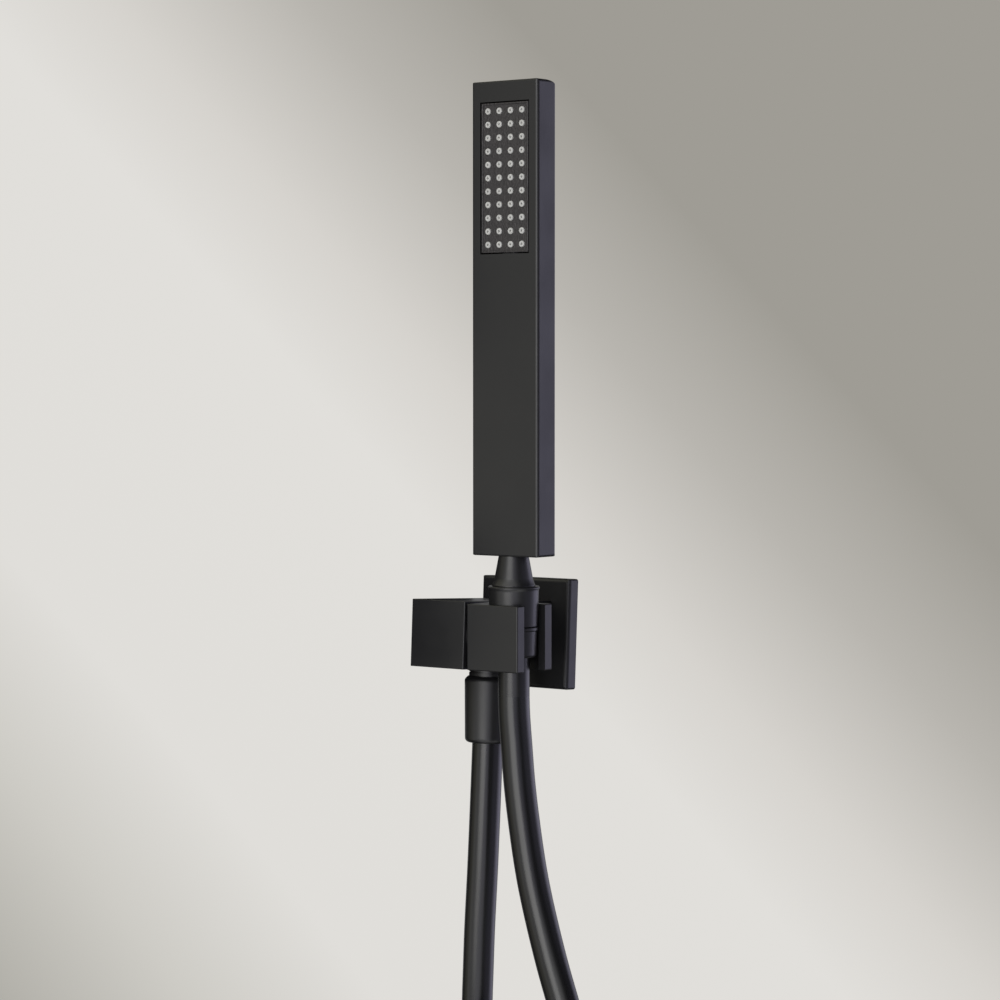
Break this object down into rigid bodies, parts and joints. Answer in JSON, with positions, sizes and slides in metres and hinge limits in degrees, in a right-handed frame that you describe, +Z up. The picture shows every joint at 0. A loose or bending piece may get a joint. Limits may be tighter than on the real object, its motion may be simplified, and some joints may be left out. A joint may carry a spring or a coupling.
{
  "type": "handheld shower head",
  "caption": "Square stick handset with a nozzle face, standing in a hinged clip on a square wall supply elbow, with its smooth hose.",
  "frame": {"origin": "centre of the wall plate's back face, on the wall", "axes": "+Z up, +Y into the wall, the room on the -Y side, the clip on the +X side of the arm"},
  "size_m": [0.1666, 0.0776, 0.6056],
  "materials": {
    "black_metal": "brass with a matte black powder coat",
    "face_plastic": "moulded ABS with a fine satin grain",
    "chamber_plastic": "moulded ABS",
    "pale_plastic": "moulded POM",
    "nozzle_silicone": "translucent grey silicone",
    "seal_rubber": "moulded EPDM rubber",
    "friction_nylon": "black nylon",
    "tie_nylon": "woven nylon hook and loop strap",
    "steel": "turned stainless steel",
    "brass": "turned brass",
    "hose_black": "smooth satin black PVC over a braided core"
  },
  "bodies": {
    "elbow": {"wall_plate": "black_metal", "plate_gasket": "seal_rubber", "plate_o_ring": "seal_rubber", "supply_arm": "black_metal", "inlet_filter_washer": "steel", "outlet_spigot": "black_metal", "spigot_o_ring": "seal_rubber", "check_valve_housing": "pale_plastic", "check_valve_spring": "steel", "pivot_screw": "steel", "pivot_wave_washer": "steel", "friction_washer": "friction_nylon", "outlet_washer": "seal_rubber", "outlet_nipple": "brass", "outlet_ferrule": "steel", "outlet_hose_nut": "black_metal", "hose_supply_run": "hose_black", "hose_coil": "hose_black", "hose_handset_run": "hose_black", "hose_tie": "tie_nylon"},
    "valve_poppet": {"check_valve_poppet": "pale_plastic"},
    "clip": {"holder": "black_metal", "pivot_bush": "pale_plastic"},
    "hose_end": {"hose_end_run": "hose_black", "swivel_sleeve": "black_metal", "swivel_nipple": "brass", "swivel_ferrule": "steel", "swivel_o_ring": "seal_rubber"},
    "handset": {"cone_nut": "black_metal", "handset_washer": "seal_rubber", "flow_limiter": "pale_plastic", "neck": "black_metal", "neck_o_ring": "seal_rubber", "handset_body": "black_metal", "inlet_tube": "chamber_plastic", "inlet_tube_o_rings": "seal_rubber", "spray_chamber": "chamber_plastic", "nozzle_mat": "nozzle_silicone", "spray_face": "face_plastic"}
  },
  "joints": [
    {"name": "clip_tilt", "type": "hinge", "parent": "elbow", "child": "clip", "pos_m": [0.0164, -0.0584, 0], "axis": [1, 0, 0], "range_deg": [-10, 35], "deforming": ["hose_handset_run", "hose_end_run"]},
    {"name": "handset_lift", "type": "slide", "parent": "clip", "child": "hose_end", "axis": [0, -0.0488, 0.9988], "range_m": [0, 0.028]},
    {"name": "handset_turn", "type": "hinge", "parent": "hose_end", "child": "handset", "pos_m": [0.03355, -0.0584, 0], "axis": [0, -0.0488, 0.9988], "continuous": true},
    {"name": "valve_open", "type": "slide", "parent": "elbow", "child": "valve_poppet", "axis": [0, 0, -1], "range_m": [0, 0.002], "stiffness_N_per_m": 120, "springref_m": -0.004, "deforming": ["check_valve_spring"]}
  ]
}
